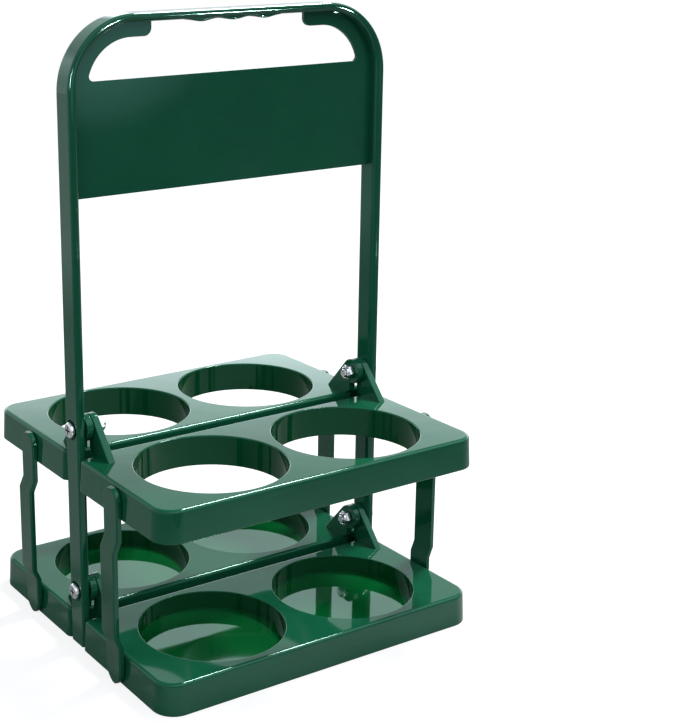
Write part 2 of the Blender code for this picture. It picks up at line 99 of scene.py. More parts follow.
# Hinge ears and bolts
BOLT_ABOVE_TRAY = 0.0144
EAR_THICKNESS = 0.0042
EAR_BOSS_RADIUS = 0.0076
EAR_REACH = 0.0242
EAR_INNER_Y = 0.0008
EAR_UNDERCUT = 0.0020
EAR_ROOT = 0.0015
EAR_EDGE_RADIUS = 0.0005
BOLT_RADIUS = 0.0025
BOLT_TAIL = 0.0008
BOLT_TIP_CHAMFER = 0.0006
BOLT_HEAD_RADIUS = 0.0045
BOLT_HEAD_HEIGHT = 0.0034
BOLT_HEAD_ROUNDING = 0.0014
CROSS_SLOT_LENGTH = 0.0050
CROSS_SLOT_WIDTH = 0.0009
CROSS_SLOT_DEPTH = 0.0013
COUNTERBORE_RADIUS = 0.0057
COUNTERBORE_DEPTH = 0.0012
NUT_ACROSS_FLATS = 0.0080
NUT_HEIGHT = 0.0034
NUT_CHAMFER = 0.0004
NUT_COLLAR_RADIUS = 0.0037
NUT_COLLAR_HEIGHT = 0.0013
NUT_MOUTH_CHAMFER = 0.0004

# Links between the levels
LINK_OFF_TRAY_MIDDLE = 0.00165
LINK_WIDTH = 0.0148
LINK_THICKNESS = 0.0028
LINK_EDGE = 0.0011
LINK_CRANK = 0.0026
LINK_CRANK_HEIGHT = 0.0062
LINK_UPPER_CRANK_DROP = 0.0209
LINK_LOWER_CRANK_RISE = 0.0135
LINK_PIVOT_BELOW_TRAY_TOP = 0.0088
LINK_TOP_REACH = 0.0074
LINK_FOOT_REACH = 0.0088
STUD_RADIUS = 0.0030
STUD_HEAD_RADIUS = 0.0042
STUD_HEAD_THICKNESS = 0.0015

# Facets
RING_SEGMENTS = 144
HOLE_SEGMENTS = 48
STUD_SEGMENTS = 32
LARGE_CORNER_STEPS = 24
SMALL_CORNER_STEPS = 8
EDGE_STEPS = 6
BOSS_STEPS = 36
LINK_END_STEPS = 14
FINGER_RIB_STEPS = 20
HEX_SIDES = 6
SMOOTH_LIMIT = pi / 6

# Places that follow from the sizes above. Folded up, a lower tray clears the tray above it.
PLACE_X = RING_TO_MIDDLE + RING_BORE_RADIUS
PLACE_DEPTH = TRAY_INNER_Y + RING_TO_TRAY_SIDE + RING_BORE_RADIUS
WELL_BORE_RADIUS = RING_BORE_RADIUS - WELL_STEP_IN
TRAY_END_X = PLACE_X + RING_BORE_RADIUS + RING_TO_TRAY_END
TRAY_OUTER_Y = PLACE_DEPTH + RING_BORE_RADIUS + RING_TO_TRAY_SIDE
LEG_OUTER_X = TRAY_END_X - TRAY_PAST_LEG
LEG_INNER_X = LEG_OUTER_X - LEG_WIDTH
PANEL_TOP_Z = FRAME_HEIGHT - PANEL_DROP
PANEL_BOTTOM_Z = PANEL_TOP_Z - PANEL_HEIGHT
GRIP_HOLE_TOP_Z = FRAME_HEIGHT - GRIP_HOLE_DROP
GRIP_HOLE_SIDE_X = LEG_INNER_X - GRIP_HOLE_SIDE_WEB
TAB_END_X = GRIP_HOLE_SIDE_X - GRIP_HOLE_SHOULDER_RADIUS - TAB_EDGE_LENGTH - TAB_END_RADIUS
LEVEL_SPACING = TRAY_OUTER_Y - TRAY_INNER_Y + FOLDED_TRAY_GAP
LOWER_BOLT_Z = TRAY_HEIGHT + BOLT_ABOVE_TRAY
UPPER_BOLT_Z = LOWER_BOLT_Z + LEVEL_SPACING
TRAY_TOP = -BOLT_ABOVE_TRAY
TRAY_BOTTOM = TRAY_TOP - TRAY_HEIGHT
OUTBOARD_EAR_X = LEG_INNER_X - FIT_GAP - EAR_THICKNESS
INBOARD_EAR_X = OUTBOARD_EAR_X - FIT_GAP - EAR_THICKNESS
BORE_AROUND_BOLT = BOLT_RADIUS + FIT_GAP
NUT_FACE_X = INBOARD_EAR_X - FIT_GAP
NUT_END_X = NUT_FACE_X - NUT_HEIGHT - NUT_COLLAR_HEIGHT
LINK_INNER_X = TRAY_END_X + TRAY_DRAFT + FIT_GAP
LINK_DEPTH = PLACE_DEPTH - LINK_OFF_TRAY_MIDDLE
LINK_PIVOT = TRAY_TOP - LINK_PIVOT_BELOW_TRAY_TOP


def arc(centre, radius, start, end, steps):
    """Points along an arc, both ends included."""
    turn = (end - start) / steps
    angles = [start + turn * step for step in range(steps + 1)]
    return [(centre[0] + radius * cos(angle), centre[1] + radius * sin(angle)) for angle in angles]


def rounded_outline(corners, inset=0.0):
    """Points of a counter-clockwise outline with rounded corners, moved inward by an inset.

    Each corner is (x, y, radius, steps). A corner with no steps stays sharp.
    """
    points = []
    count = len(corners)
    for index, (x, y, radius, steps) in enumerate(corners):
        here = Vector((x, y))
        before = (here - Vector(corners[index - 1][:2])).normalized()
        after = (Vector(corners[(index + 1) % count][:2]) - here).normalized()
        in_before = Vector((-before.y, before.x))
        in_after = Vector((-after.y, after.x))
        turn = before.cross(after)
        bisector = (in_before + in_after).normalized()
        here = here + bisector * (inset / bisector.dot(in_before))
        if not steps:
            points.append((here.x, here.y))
            continue
        side = 1 if turn > 0 else -1
        bend = max(radius - side * inset, LEAST_RADIUS)
        centre = here + bisector * (side * bend / bisector.dot(in_before))
        first = -in_before * side
        last = -in_after * side
        start = atan2(first.y, first.x)
        sweep = atan2(first.cross(last), first.dot(last))
        points += arc(centre, bend, start, start + sweep, steps)
    return points


def loft(rings):
    """A closed body through rings of equal point counts, with both ends capped."""
    body = bmesh.new()
    rows = [[body.verts.new(point) for point in ring] for ring in rings]
    count = len(rows[0])
    for row, above in zip(rows, rows[1:]):
        for index in range(count):
            following = (index + 1) % count
            body.faces.new((row[index], row[following], above[following], above[index]))
    body.faces.new(rows[0][::-1])
    body.faces.new(rows[-1])
    bmesh.ops.recalc_face_normals(body, faces=body.faces)
    return body


def edge_steps(radius):
    """(inset, drop) pairs that round an edge, from its side face to its end face."""
    angles = [pi / 2 * step / EDGE_STEPS for step in range(EDGE_STEPS + 1)]
    return [(radius * (1 - cos(angle)), radius * (1 - sin(angle))) for angle in angles]


def prism(outline, low, high, axis, edge=0.0):
    """An outline pushed from low to high along X, Y or Z, with its end edges rounded where asked.

    The outline's two coordinates are the other two axes, in the order X, Y, Z.
    """
    put = {
        "X": lambda point, along: (along, point[0], point[1]),
        "Y": lambda point, along: (point[0], along, point[1]),
        "Z": lambda point, along: (point[0], point[1], along),
    }[axis]
    if edge:
        corners = [(a, b, 0, 0) for a, b in outline]
        rounding = edge_steps(edge)
        stations = [(low + drop, inset) for inset, drop in reversed(rounding)]
        stations += [(high - drop, inset) for inset, drop in rounding]
        sections = [(along, rounded_outline(corners, inset)) for along, inset in stations]
    else:
        sections = [(low, outline), (high, outline)]
    return loft([[put(point, along) for point in points] for along, points in sections])


def turned(profile, centre, axis, segments):
    """A body turned about a line along X or Z; the profile is a list of (along, radius)."""
    rings = []
    for along, radius in profile:
        circle = arc((0, 0), radius, 0, 2 * pi, segments)[:-1]
        if axis == "X":
            rings.append([(along, centre[0] + a, centre[1] + b) for a, b in circle])
        else:
            rings.append([(centre[0] + a, centre[1] + b, along) for a, b in circle])
    return loft(rings)


def mesh_from(body, name):
    mesh = bpy.data.meshes.new(name)
    body.to_mesh(mesh)
    body.free()
    return mesh


def combined(base, steps, name):
    """The mesh left after a list of (operation, body) booleans on a base body."""
    target = bpy.data.objects.new(name, mesh_from(base, name))
    bpy.context.scene.collection.objects.link(target)
    tools = []
    for operation, body in steps:
        tool = bpy.data.objects.new(name + "_tool", mesh_from(body, name + "_tool"))
        bpy.context.scene.collection.objects.link(tool)
        modifier = target.modifiers.new(operation.lower(), "BOOLEAN")
        modifier.operation = operation
        modifier.solver = "EXACT"
        modifier.object = tool
        tools.append(tool)
    bpy.context.view_layer.update()
    evaluated = target.evaluated_get(bpy.context.evaluated_depsgraph_get())
    mesh = bpy.data.meshes.new_from_object(evaluated)
    mesh.name = name
    for item in tools + [target]:
        bpy.data.objects.remove(item)
    return mesh


def smooth(mesh):
    """Smooth shading, with edges past the limit kept sharp."""
    mesh.shade_smooth()
    mesh.set_sharp_from_angle(angle=SMOOTH_LIMIT)
    return mesh


# Looks. Scales are in waves or cells per metre, and the heights of bumps in metres.

WHITE = (1, 1, 1, 1)
SHEEN_TINT = (0.32, 0.58, 0.52, 1)
WELL_FLOOR_SHEEN_TINT = (0.62, 1.0, 0.86, 1)
PLASTIC_IOR = 1.49
WELL_FLOOR_IOR = 2.3
CLOUD_SCALE = 22.0
CLOUD_RANGE = (0.35, 0.65)
FLOW_SCALE = 60.0
FLOW_STRETCH = (1.0, 1.0, 5.0)
FLOW_SHARE = 0.3
SPECK_SCALE = 260.0
SPECK_CHANCE = 0.025
SPECK_SIZE = 0.10
SPECK_COLOUR = (0.35, 0.52, 0.42, 1)
SPECK_STRENGTH = 0.22
SPECK_ROUGHNESS = 0.2
SMEAR_SCALE = 34.0
SMEAR_RANGE = (0.3, 0.7)
PLASTIC_ROUGHNESS = (0.025, 0.065)
WAVE_SCALE = 42.0
WAVE_STRENGTH = 0.08
WAVE_HEIGHT = 0.00035
SKIN_SCALE = 1400.0
SKIN_STRENGTH = 0.03
SKIN_HEIGHT = 0.00003
ZINC_CLOUD_SCALE = 420.0
ZINC_GRAIN_SCALE = 2200.0
ZINC_ROUGHNESS = (0.08, 0.20)
DRAW_MARK_SCALE = 3600.0
DRAW_MARK_STRENGTH = 0.16
DRAW_MARK_HEIGHT = 0.00006
NORMAL_FACE_WEIGHT = 100


class Nodes:
    """Short ways to add and wire shader nodes."""

    def __init__(self, tree):
        self.tree = tree

    def feed(self, node, inputs):
        """Wire or set a node's inputs, each given by its name or number."""
        for name, value in inputs.items():
            if hasattr(value, "is_output"):
                self.tree.links.new(value, node.inputs[name])
            else:
                node.inputs[name].default_value = value

    def add(self, kind, settings=None, inputs=None):
        node = self.tree.nodes.new(kind)
        for name, value in (settings or {}).items():
            setattr(node, name, value)
        self.feed(node, inputs or {})
        return node

    def noise(self, vector, scale, detail, roughness=0.5):
        made = self.add("ShaderNodeTexNoise", None, {
            "Vector": vector, "Scale": scale, "Detail": detail, "Roughness": roughness})
        return made.outputs["Fac"]

    def spread(self, value, low, high, to_low, to_high, kind="LINEAR"):
        made = self.add("ShaderNodeMapRange", {"interpolation_type": kind}, {
            "Value": value, "From Min": low, "From Max": high, "To Min": to_low, "To Max": to_high})
        return made.outputs["Result"]

    def math(self, operation, first, second):
        made = self.add("ShaderNodeMath", {"operation": operation}, {0: first, 1: second})
        return made.outputs["Value"]

    def vector_math(self, operation, first, second=(0, 0, 0), gives="Vector"):
        made = self.add("ShaderNodeVectorMath", {"operation": operation}, {0: first, 1: second})
        return made.outputs[gives]

    def mix(self, factor, first, second, blend="MIX"):
        """A mix of two colours. Its sockets go by number, as other types have the same names."""
        made = self.add("ShaderNodeMix", {"data_type": "RGBA", "blend_type": blend}, {
            "Factor": factor, 6: first, 7: second})
        return made.outputs[2]

    def bump(self, height, strength, distance, under=None):
        inputs = {"Height": height, "Strength": strength, "Distance": distance}
        if under:
            inputs["Normal"] = under
        return self.add("ShaderNodeBump", None, inputs).outputs["Normal"]

    def seen_rays(self):
        """1 on camera and transmission rays, 0 on all others."""
        rays = self.add("ShaderNodeLightPath").outputs
        return self.math("MAXIMUM", rays["Is Camera Ray"], rays["Is Transmission Ray"])


def new_look(name):
    made = bpy.data.materials.new(name)
    made.use_nodes = True
    nodes = Nodes(made.node_tree)
    shader = made.node_tree.nodes["Principled BSDF"]
    return made, nodes, shader


def plastic_look(name, deep, light, shine=0.5, ior=PLASTIC_IOR, tint=SHEEN_TINT):
    """Glossy moulded plastic: cloudy pigment, flow marks, faint waves and a few dust specks."""
    made, nodes, shader = new_look(name)
    where = nodes.add("ShaderNodeTexCoord").outputs["Object"]

    cloud = nodes.noise(where, CLOUD_SCALE, detail=3.0)
    stretched = nodes.add("ShaderNodeMapping", None, {"Vector": where, "Scale": FLOW_STRETCH})
    flow = nodes.noise(stretched.outputs["Vector"], FLOW_SCALE, detail=4.0, roughness=0.6)
    cloud_part = nodes.math("MULTIPLY", cloud, 1 - FLOW_SHARE)
    flow_part = nodes.math("MULTIPLY", flow, FLOW_SHARE)
    shade = nodes.spread(nodes.math("ADD", cloud_part, flow_part), *CLOUD_RANGE, 0.0, 1.0)
    pigment = nodes.mix(shade, (*deep, 1), (*light, 1))

    cell = nodes.add("ShaderNodeTexVoronoi", None, {"Vector": where, "Scale": SPECK_SCALE})
    chance = nodes.add("ShaderNodeSeparateColor", None, {"Color": cell.outputs["Color"]}).outputs["Red"]
    size = nodes.spread(chance, 1 - SPECK_CHANCE, 1.0, 0.0, SPECK_SIZE)
    speck = nodes.math("LESS_THAN", cell.outputs["Distance"], size)

    smear = nodes.noise(where, SMEAR_SCALE, detail=5.0, roughness=0.62)
    rough = nodes.spread(smear, *SMEAR_RANGE, *PLASTIC_ROUGHNESS)
    waves = nodes.bump(nodes.noise(where, WAVE_SCALE, detail=1.0), WAVE_STRENGTH, WAVE_HEIGHT)
    skin = nodes.bump(nodes.noise(where, SKIN_SCALE, detail=2.0), SKIN_STRENGTH, SKIN_HEIGHT, waves)

    nodes.feed(shader, {
        "Base Color": nodes.mix(nodes.math("MULTIPLY", speck, SPECK_STRENGTH), pigment, SPECK_COLOUR),
        "Roughness": nodes.math("ADD", rough, nodes.math("MULTIPLY", speck, SPECK_ROUGHNESS)),
        "Normal": skin,
        "IOR": ior,
        "Specular IOR Level": shine,
        "Specular Tint": tint,
    })
    return made


def zinc_look(name, deep, light):
    """Bright plated steel with fine draw marks and a little dulling."""
    made, nodes, shader = new_look(name)
    where = nodes.add("ShaderNodeTexCoord").outputs["Object"]
    cloud = nodes.noise(where, ZINC_CLOUD_SCALE, detail=4.0, roughness=0.6)
    grain = nodes.noise(where, ZINC_GRAIN_SCALE, detail=3.0, roughness=0.7)
    marks = nodes.noise(where, DRAW_MARK_SCALE, detail=3.0)
    nodes.feed(shader, {
        "Base Color": nodes.mix(nodes.spread(cloud, *CLOUD_RANGE, 0.0, 1.0), (*deep, 1), (*light, 1)),
        "Roughness": nodes.spread(grain, *SMEAR_RANGE, *ZINC_ROUGHNESS),
        "Normal": nodes.bump(marks, DRAW_MARK_STRENGTH, DRAW_MARK_HEIGHT),
        "Metallic": 1.0,
    })
    return made


FRAME_LOOK = plastic_look("green_plastic_frame", (0.0042, 0.064, 0.031), (0.0058, 0.074, 0.037))
TRAY_LOOK = plastic_look("green_plastic_tray", (0.0038, 0.062, 0.028), (0.0055, 0.073, 0.034))
# Painted light: the well floors get a brighter, more saturated green that stands in for light shining
# through the thin floor.
WELL_FLOOR_PAINTED_GLOW_LOOK = plastic_look(
    "green_plastic_well_floor_painted_glow", (0.0010, 0.066, 0.014), (0.0018, 0.078, 0.018),
    ior=WELL_FLOOR_IOR, tint=WELL_FLOOR_SHEEN_TINT)
# Painted shade: the well walls and ring walls get a darker green, with weaker reflections, that stands in
# for the shade inside the bottle places.
WELL_WALL_PAINTED_SHADE_LOOK = plastic_look(
    "green_plastic_well_wall_painted_shade", (0.0008, 0.036, 0.009), (0.0014, 0.046, 0.012), shine=0.3)
RING_WALL_PAINTED_SHADE_LOOK = plastic_look(
    "green_plastic_ring_wall_painted_shade", (0.0010, 0.047, 0.013), (0.0016, 0.056, 0.017), shine=0.25)
LINK_LOOK = plastic_look("green_plastic_link", (0.0036, 0.060, 0.027), (0.0052, 0.069, 0.032))
ZINC_LOOK = zinc_look("zinc_plate", (0.56, 0.58, 0.60), (0.82, 0.83, 0.84))
# Painted shade: a near-black zinc for the bolts' cross slots.
SLOT_PAINTED_SHADE_LOOK = zinc_look("zinc_recess_painted_shade", (0.05, 0.055, 0.055), (0.14, 0.15, 0.15))


def place(name, mesh, location, look, body, half_turn=False):
    """A dressed piece over its CAD node, riding on the node's body."""
    piece = bpy.data.objects.new(name + "_look", mesh)
    bpy.context.scene.collection.objects.link(piece)
    piece.location = location
    piece.rotation_euler.z = pi if half_turn else 0
    bpy.context.view_layer.update()
    normals = piece.modifiers.new("weighted_normals", "WEIGHTED_NORMAL")
    normals.keep_sharp = True
    normals.weight = NORMAL_FACE_WEIGHT
    if not mesh.materials:
        mesh.materials.append(look)
    for slot in piece.material_slots:
        material = slot.material
        slot.link = "OBJECT"
        slot.material = material
    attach(piece, body)
    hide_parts(name)


# Hoop frame

def edge_inset(radius, drop):
    """How far a rounded edge stands in at a depth below its end face."""
    short = max(radius - drop, 0.0)
    return radius - sqrt(radius * radius - short * short)


def hoop_outline(drop):
    """The band seen from the front, at a depth below its front or rear face."""
    outer = edge_inset(FRAME_EDGE_RADIUS, drop)
    inner = edge_inset(FRAME_INNER_EDGE_RADIUS, drop)
    far, near = LEG_OUTER_X - outer, LEG_INNER_X + inner
    top, under = FRAME_HEIGHT - outer, FRAME_HEIGHT - GRIP_THICKNESS + inner
    far_radius = FRAME_CORNER_RADIUS - outer
    near_radius = FRAME_CORNER_RADIUS - LEG_WIDTH + inner
    return rounded_outline([
        (-far, outer, 0, 0),
        (-near, outer, 0, 0),
        (-near, under, near_radius, LARGE_CORNER_STEPS),
        (near, under, near_radius, LARGE_CORNER_STEPS),
        (near, outer, 0, 0),
        (far, outer, 0, 0),
        (far, top, far_radius, LARGE_CORNER_STEPS),
        (-far, top, far_radius, LARGE_CORNER_STEPS),
    ])


def hoop_body():
    """The band that forms both legs, the corners and the grip, rounder inside than outside."""
    side = LEG_DEPTH / 2
    rounding = edge_steps(FRAME_EDGE_RADIUS) + edge_steps(FRAME_INNER_EDGE_RADIUS)
    drops = sorted({drop for _, drop in rounding})
    sections = [(drop - side, drop) for drop in drops]
    sections += [(side - drop, drop) for drop in reversed(drops)]
    return loft([[(x, y, z) for x, z in hoop_outline(drop)] for y, drop in sections])


def web_body():
    """The thin plate across the top of the hoop, before the grip hole is cut."""
    reach = LEG_WIDTH / 2
    side = LEG_INNER_X + reach
    top = FRAME_HEIGHT - reach
    radius = FRAME_CORNER_RADIUS - reach
    corners = [
        (-side, PANEL_BOTTOM_Z, 0, 0),
        (side, PANEL_BOTTOM_Z, 0, 0),
        (side, top, radius, LARGE_CORNER_STEPS),
        (-side, top, radius, LARGE_CORNER_STEPS),
    ]
    return prism(rounded_outline(corners), -WEB_THICKNESS / 2, WEB_THICKNESS / 2, "Y")


def grip_hole_body():
    """The hand hole: wide below, narrower between the two rounded tabs beside the grip."""
    bend = GRIP_HOLE_SHOULDER_RADIUS
    shoulder = (GRIP_HOLE_SIDE_X - bend, GRIP_HOLE_TOP_Z - bend)
    foot_z = PANEL_TOP_Z + GRIP_HOLE_FOOT_RADIUS
    reach = bend - GRIP_HOLE_FOOT_RADIUS
    rise = asin((foot_z - shoulder[1]) / reach)
    foot = (shoulder[0] + reach * cos(rise), foot_z)
    tab = (TAB_END_X + TAB_END_RADIUS, GRIP_HOLE_TOP_Z + TAB_END_RADIUS)
    half = arc(foot, GRIP_HOLE_FOOT_RADIUS, -pi / 2, rise, SMALL_CORNER_STEPS)
    half += arc(shoulder, bend, rise, pi / 2, LARGE_CORNER_STEPS)[1:]
    half += arc(tab, TAB_END_RADIUS, -pi / 2, -pi, SMALL_CORNER_STEPS)
    half.append((TAB_END_X, FRAME_HEIGHT + CUT_OVERRUN))
    outline = half + [(-x, z) for x, z in reversed(half)]
    return prism(outline, -LEG_DEPTH, LEG_DEPTH, "Y")


def finger_rib_body():
    """The wavy strip under the grip."""
    low = FRAME_HEIGHT - GRIP_THICKNESS
    half_length = FINGER_RIB_PITCH * FINGER_RIB_COUNT / 2
    steps = FINGER_RIB_STEPS * FINGER_RIB_COUNT
    outline = [(half_length, low + GRIP_THICKNESS / 2), (-half_length, low + GRIP_THICKNESS / 2)]
    for step in range(steps + 1):
        share = step / FINGER_RIB_STEPS
        swell = (1 - cos(2 * pi * share)) / 2
        x = FINGER_RIB_PITCH * share - half_length
        outline.append((x, low - FINGER_RIB_ROOT - FINGER_RIB_DROP * swell))
    side = LEG_DEPTH / 2 - FINGER_RIB_SET_BACK
    return prism(outline, -side, side, "Y", FINGER_RIB_EDGE)


def bolt_hole_steps():
    """Holes and counterbores for the four bolts, cut through both legs."""
    steps = []
    for bolt_z in (LOWER_BOLT_Z, UPPER_BOLT_Z):
        reach = LEG_OUTER_X + CUT_OVERRUN
        through = [(-reach, BORE_AROUND_BOLT), (reach, BORE_AROUND_BOLT)]
        steps.append(("DIFFERENCE", turned(through, (0, bolt_z), "X", HOLE_SEGMENTS)))
        for side in (-1, 1):
            floor = LEG_OUTER_X - COUNTERBORE_DEPTH
            sink = [(side * floor, COUNTERBORE_RADIUS), (side * reach, COUNTERBORE_RADIUS)]
            steps.append(("DIFFERENCE", turned(sink, (0, bolt_z), "X", HOLE_SEGMENTS)))
    return steps


def build_frame():
    steps = [("DIFFERENCE", grip_hole_body()), ("UNION", hoop_body()), ("UNION", finger_rib_body())]
    mesh = combined(web_body(), steps + bolt_hole_steps(), "handle_frame")
    place("handle_frame", smooth(mesh), (0, 0, 0), FRAME_LOOK, "frame")


# Trays

def tray_corners():
    """The plan of a front tray's top, seen from above, counter-clockwise.

    A notch at each end clears the leg. At the left it also clears the other tray's ear.
    """
    notch_y = -(LEG_DEPTH / 2 + FIT_GAP + TRAY_DRAFT)
    left_notch = -OUTBOARD_EAR_X + FIT_GAP
    right_notch = LEG_INNER_X - FIT_GAP - TRAY_DRAFT
    return [
        (-TRAY_END_X, -TRAY_OUTER_Y, TRAY_OUTER_CORNER_RADIUS, LARGE_CORNER_STEPS),
        (TRAY_END_X, -TRAY_OUTER_Y, TRAY_OUTER_CORNER_RADIUS, LARGE_CORNER_STEPS),
        (TRAY_END_X, notch_y, TRAY_INNER_CORNER_RADIUS, SMALL_CORNER_STEPS),
        (right_notch, notch_y, NOTCH_ROOT_RADIUS, SMALL_CORNER_STEPS),
        (right_notch, -TRAY_INNER_Y, NOTCH_MOUTH_RADIUS, SMALL_CORNER_STEPS),
        (left_notch, -TRAY_INNER_Y, NOTCH_MOUTH_RADIUS, SMALL_CORNER_STEPS),
        (left_notch, notch_y, NOTCH_ROOT_RADIUS, SMALL_CORNER_STEPS),
        (-TRAY_END_X, notch_y, TRAY_INNER_CORNER_RADIUS, SMALL_CORNER_STEPS),
    ]


def tray_shell_body():
    """The outside of a tray: drafted skirt and rounded top edge."""
    rim = reversed(edge_steps(TRAY_RIM_RADIUS))
    levels = [(TRAY_BOTTOM + drop, inset - TRAY_DRAFT) for inset, drop in rim]
    levels += [(TRAY_TOP - drop, inset) for inset, drop in edge_steps(TRAY_EDGE_RADIUS)]
    corners = tray_corners()
    return loft([[(x, y, z) for x, y in rounded_outline(corners, inset)] for z, inset in levels])


def tray_hollow_body():
    outline = rounded_outline(tray_corners(), TRAY_WALL)
    return prism(outline, TRAY_BOTTOM - CUT_OVERRUN, TRAY_TOP - TRAY_TOP_THICKNESS, "Z")


def bore_profile(radius, edge, floor):
    """A bore from its floor up to a rounded edge at the tray's top."""
    profile = [(floor, radius)]
    profile += [(TRAY_TOP - drop, radius + inset) for inset, drop in edge_steps(edge)]
    profile.append((TRAY_TOP + CUT_OVERRUN, radius + edge))
    return profile


def place_steps(ring):
    """The two bottle places of a tray: open rings above, wells with a floor below."""
    bore = RING_BORE_RADIUS if ring else WELL_BORE_RADIUS
    edge = RING_EDGE_RADIUS if ring else WELL_EDGE_RADIUS
    wall_low = TRAY_BOTTOM + RING_FOOT_GAP if ring else TRAY_TOP - WELL_DEPTH - WELL_FLOOR
    bore_low = TRAY_BOTTOM - CUT_OVERRUN if ring else TRAY_TOP - WELL_DEPTH
    wall = [(wall_low, bore + RING_WALL), (TRAY_TOP - JOIN_DEPTH, bore + RING_WALL)]
    profile = bore_profile(bore, edge, bore_low)
    centres = [(side * PLACE_X, -PLACE_DEPTH) for side in (-1, 1)]
    walls = [("UNION", turned(wall, centre, "Z", RING_SEGMENTS)) for centre in centres]
    bores = [("DIFFERENCE", turned(profile, centre, "Z", RING_SEGMENTS)) for centre in centres]
    return walls + bores


def ear_outline():
    """A hinge ear in the Y-Z plane, round over the bolt and sloping down to the tray."""
    foot_z = TRAY_TOP - EAR_ROOT
    reach = hypot(EAR_REACH, foot_z)
    tip_angle = atan2(foot_z, -EAR_REACH) % (2 * pi)
    start = -pi / 2 - EAR_INNER_Y / EAR_BOSS_RADIUS
    end = tip_angle - acos(EAR_BOSS_RADIUS / reach)
    outline = arc((0, 0), EAR_BOSS_RADIUS, start, end, BOSS_STEPS)
    outline.append((-EAR_REACH, foot_z))
    outline.append((-TRAY_INNER_Y - EAR_ROOT, foot_z))
    outline.append((-EAR_INNER_Y, TRAY_TOP + EAR_UNDERCUT))
    return outline


def ear_steps():
    """The inboard ear at the left, the outboard ear at the right, and their bolt holes."""
    inboard = prism(ear_outline(), -INBOARD_EAR_X - EAR_THICKNESS, -INBOARD_EAR_X, "X", EAR_EDGE_RADIUS)
    outboard = prism(ear_outline(), OUTBOARD_EAR_X, OUTBOARD_EAR_X + EAR_THICKNESS, "X", EAR_EDGE_RADIUS)
    through = [(-LEG_OUTER_X, BORE_AROUND_BOLT), (LEG_OUTER_X, BORE_AROUND_BOLT)]
    bore = turned(through, (0, 0), "X", HOLE_SEGMENTS)
    return [("UNION", inboard), ("UNION", outboard), ("DIFFERENCE", bore)]


def stud_hole_step():
    """Holes in both end walls for the links' studs."""
    reach = TRAY_END_X + CUT_OVERRUN
    hole = [(-reach, STUD_RADIUS + FIT_GAP), (reach, STUD_RADIUS + FIT_GAP)]
    return ("DIFFERENCE", turned(hole, (-LINK_DEPTH, LINK_PIVOT), "X", HOLE_SEGMENTS))


# The order of a tray's looks in its mesh (plain plastic, walls with painted shade, well floors with a
# painted glow), and the least upward share of a well floor's normal
TOP_SLOT, PAINTED_SHADE_WALL_SLOT, PAINTED_GLOW_FLOOR_SLOT = range(3)
UPWARD = 0.5


def tray_mesh(name, ring):
    """A tray, whose bottle places have looks of their own: walls darkened with painted shade, and well
    floors lit with a painted glow.
    """
    steps = [("DIFFERENCE", tray_hollow_body()), stud_hole_step()]
    mesh = smooth(combined(tray_shell_body(), steps + place_steps(ring) + ear_steps(), name))
    for look in (TRAY_LOOK, RING_WALL_PAINTED_SHADE_LOOK if ring else WELL_WALL_PAINTED_SHADE_LOOK, WELL_FLOOR_PAINTED_GLOW_LOOK):
        mesh.materials.append(look)
    bore = RING_BORE_RADIUS if ring else WELL_BORE_RADIUS
    # Faces on the bottle places' walls take the painted shade, and upward faces in the wells take the
    # painted glow.
    for face in mesh.polygons:
        x, y, z = face.center
        off_centre = hypot(abs(x) - PLACE_X, y + PLACE_DEPTH)
        inside = off_centre < bore + FACE_MARGIN and z < TRAY_TOP - WELL_EDGE_RADIUS
        slot = TOP_SLOT
        if inside and abs(face.normal.z) < FACE_MARGIN:
            slot = PAINTED_SHADE_WALL_SLOT
        elif inside and face.normal.z > UPWARD and not ring:
            slot = PAINTED_GLOW_FLOOR_SLOT
        face.material_index = slot
    return mesh


def build_trays():
    """Each tray's origin is on its hinge axis. The rear trays are the front ones turned round."""
    upper = tray_mesh("upper_tray", ring=True)
    lower = tray_mesh("lower_tray", ring=False)
    for level, mesh, bolt_z in (("upper", upper, UPPER_BOLT_Z), ("lower", lower, LOWER_BOLT_Z)):
        for face in ("front", "rear"):
            body = level + "_" + face
            place(body + "_tray", mesh, (0, 0, bolt_z), TRAY_LOOK, body, half_turn=face == "rear")


# Links

def link_stations():
    """(height, half width, crank share) down the link, from its top tip to its foot."""
    half = LINK_WIDTH / 2
    top = LINK_TOP_REACH - half
    foot = half - LEVEL_SPACING - LINK_FOOT_REACH
    upper_crank = -LINK_UPPER_CRANK_DROP
    lower_crank = LINK_LOWER_CRANK_RISE - LEVEL_SPACING
    turns = [pi / 2 * step / LINK_END_STEPS for step in range(1, LINK_END_STEPS)]
    tip = (half, LINK_EDGE * 2)
    rounding = [(0, half)] + [(half * sin(turn), half * cos(turn)) for turn in turns] + [tip]
    stations = [(top + rise, width, 0) for rise, width in reversed(rounding)]
    stations += [
        (upper_crank, half, 0),
        (upper_crank - LINK_CRANK_HEIGHT, half, 1),
        (lower_crank + LINK_CRANK_HEIGHT, half, 1),
        (lower_crank, half, 0),
    ]
    return stations + [(foot - rise, width, 0) for rise, width in rounding]


def link_bar_body():
    """A flat bar with round ends that steps outward between the levels.

    Its origin is its upper pivot, on the bar's inner face, and +X points away from the carrier.
    """
    rings = []
    for z, width, crank_share in link_stations():
        inner = LINK_CRANK * crank_share
        outer = inner + LINK_THICKNESS
        corners = [
            (inner, -width, 0, 0),
            (outer, -width, LINK_EDGE, SMALL_CORNER_STEPS),
            (outer, width, LINK_EDGE, SMALL_CORNER_STEPS),
            (inner, width, 0, 0),
        ]
        rings.append([(x, y, z) for x, y in rounded_outline(corners)])
    return loft(rings)


